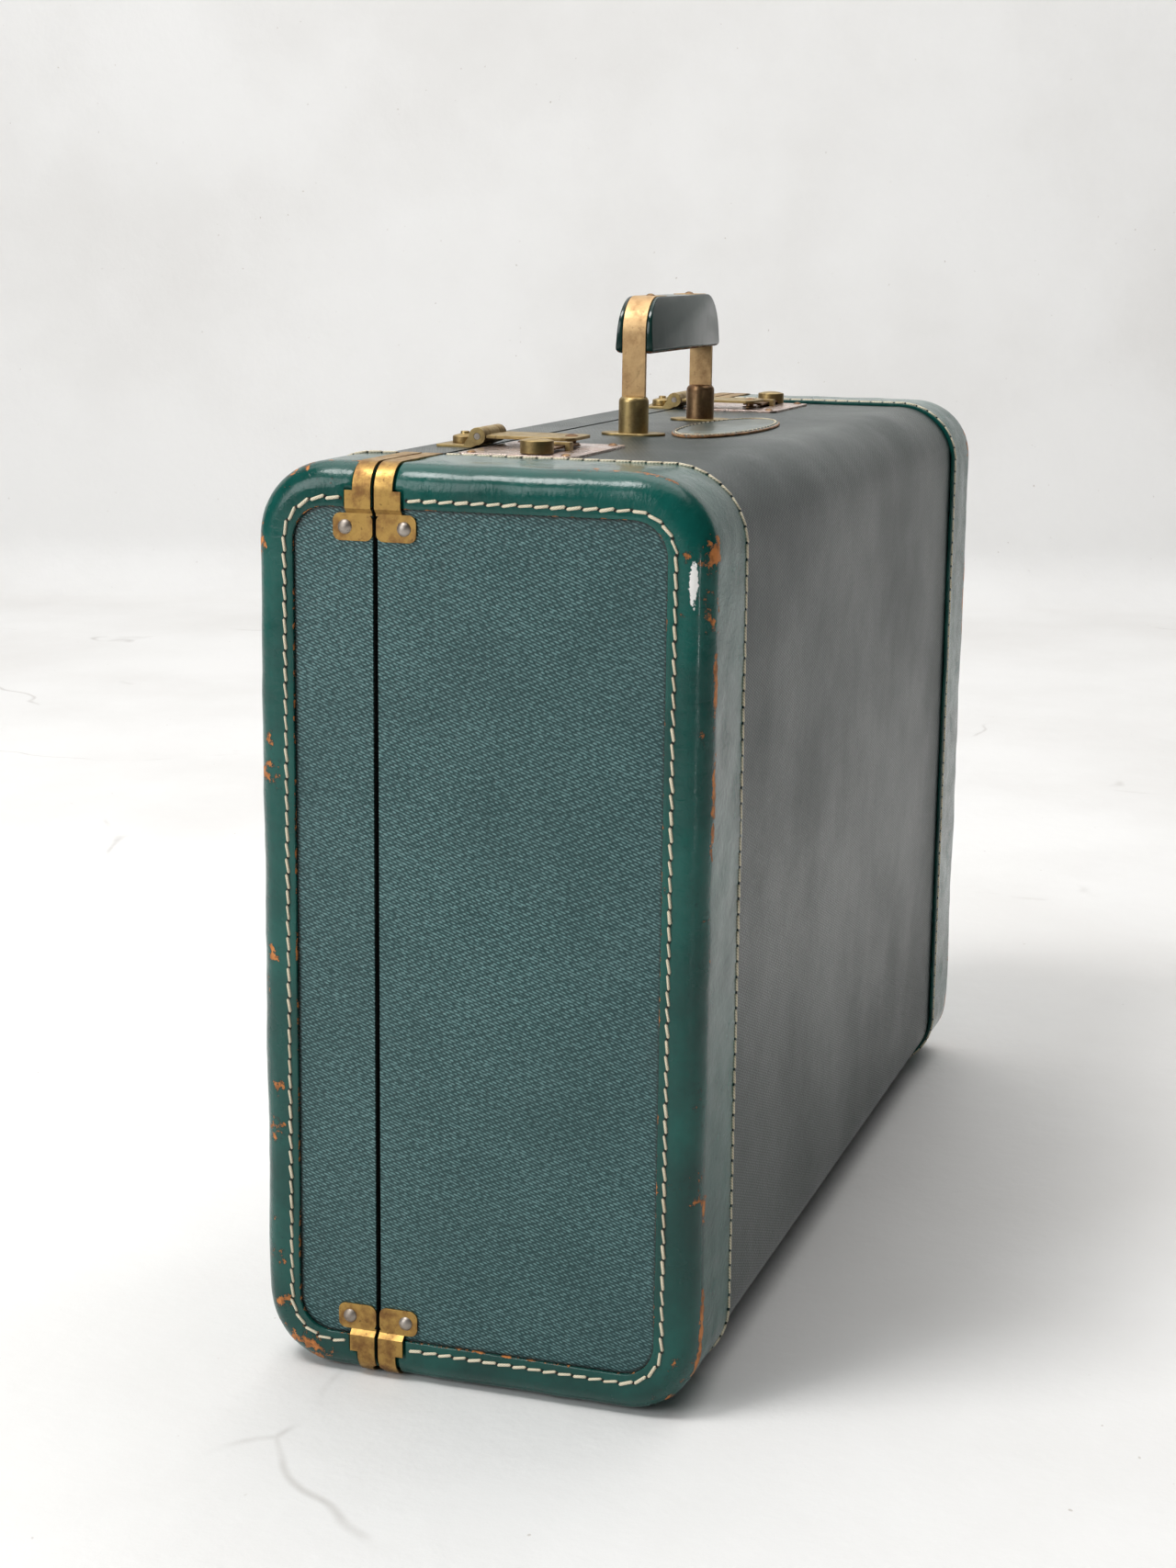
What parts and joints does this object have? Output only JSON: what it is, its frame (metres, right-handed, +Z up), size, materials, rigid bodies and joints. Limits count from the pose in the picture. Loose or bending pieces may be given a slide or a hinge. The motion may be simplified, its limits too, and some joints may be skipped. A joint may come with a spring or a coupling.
{
  "type": "suitcase",
  "caption": "Upright hard suitcase of canvas-covered board with rolled leather end bindings, brass clips, hasp latches, hinged lid and a drop handle.",
  "frame": {"origin": "middle of the long side that the case stands on, at the level of the leather's underside", "axes": "+X along the case, +Y from the base's big face towards the lid, +Z up towards the handle"},
  "size_m": [0.491, 0.1714, 0.3983],
  "materials": {
    "board": "bare bent board",
    "canvas": "diagonal twill, dark green with paler threads",
    "leather": "glossy green leather, worn tan at the edges",
    "lining": "plain woven lining cloth",
    "grip_leather": "dark green leather, tan lower edge",
    "patch_leather": "green leather with a stitched tan edge",
    "brass": "antique, tarnished",
    "lock_plate": "polished, tarnished",
    "steel": "dull"
  },
  "bodies": {
    "base": {"base_board": "board", "base_end_board_near": "board", "base_end_board_far": "board", "base_corner_beads": "board", "base_canvas": "canvas", "base_end_canvas_near": "canvas", "base_end_canvas_far": "canvas", "base_binding_near": "leather", "base_binding_far": "leather", "base_lining": "lining", "base_valance": "lining", "base_clips": "brass", "base_clip_rivets": "steel", "lock_plate_near": "lock_plate", "lock_plate_far": "lock_plate", "lock_rivets": "brass", "bolt_guides": "brass", "handle_flanges": "brass", "handle_post_near": "brass", "handle_post_far": "brass", "oval_patch": "patch_leather", "hinge_leaves_base": "brass", "hinge_pins": "steel", "hinge_rivets_base": "brass"},
    "lid": {"lid_board": "board", "lid_end_board_near": "board", "lid_end_board_far": "board", "lid_corner_beads": "board", "lid_canvas": "canvas", "lid_end_canvas_near": "canvas", "lid_end_canvas_far": "canvas", "lid_binding_near": "leather", "lid_binding_far": "leather", "lid_lining": "lining", "lid_clips": "brass", "lid_clip_rivets": "steel", "hasp_leaf_near": "brass", "hasp_leaf_far": "brass", "hasp_bosses": "brass", "hasp_pins": "steel", "hinge_leaves_lid": "brass", "hinge_rivets_lid": "brass"},
    "near_hasp": {"hasp_near": "brass", "hasp_post_near": "steel"},
    "far_hasp": {"hasp_far": "brass", "hasp_post_far": "steel"},
    "near_bolt": {"bolt_near": "brass", "thumb_knob_near": "brass"},
    "far_bolt": {"bolt_far": "brass", "thumb_knob_far": "brass"},
    "handle": {"grip": "grip_leather", "strap_near": "brass", "strap_far": "brass", "strap_rivets": "brass", "stop_pins": "steel"}
  },
  "joints": [
    {"name": "lid_hinge", "type": "hinge", "parent": "base", "child": "lid", "pos_m": [0, 0.03825, 0.0018], "axis": [-1, 0, 0], "range_deg": [0, 95]},
    {"name": "near_hasp_hinge", "type": "hinge", "parent": "lid", "child": "near_hasp", "pos_m": [-0.133, 0.03725, 0.3453], "axis": [-1, 0, 0], "range_deg": [0, 120]},
    {"name": "far_hasp_hinge", "type": "hinge", "parent": "lid", "child": "far_hasp", "pos_m": [0.133, 0.03725, 0.3453], "axis": [-1, 0, 0], "range_deg": [0, 120]},
    {"name": "near_bolt_slide", "type": "slide", "parent": "base", "child": "near_bolt", "axis": [1, 0, 0], "range_m": [0, 0.008]},
    {"name": "far_bolt_slide", "type": "slide", "parent": "base", "child": "far_bolt", "axis": [-1, 0, 0], "range_m": [0, 0.008]},
    {"name": "handle_slide", "type": "slide", "parent": "base", "child": "handle", "axis": [0, 0, -1], "range_m": [0, 0.0155]}
  ]
}
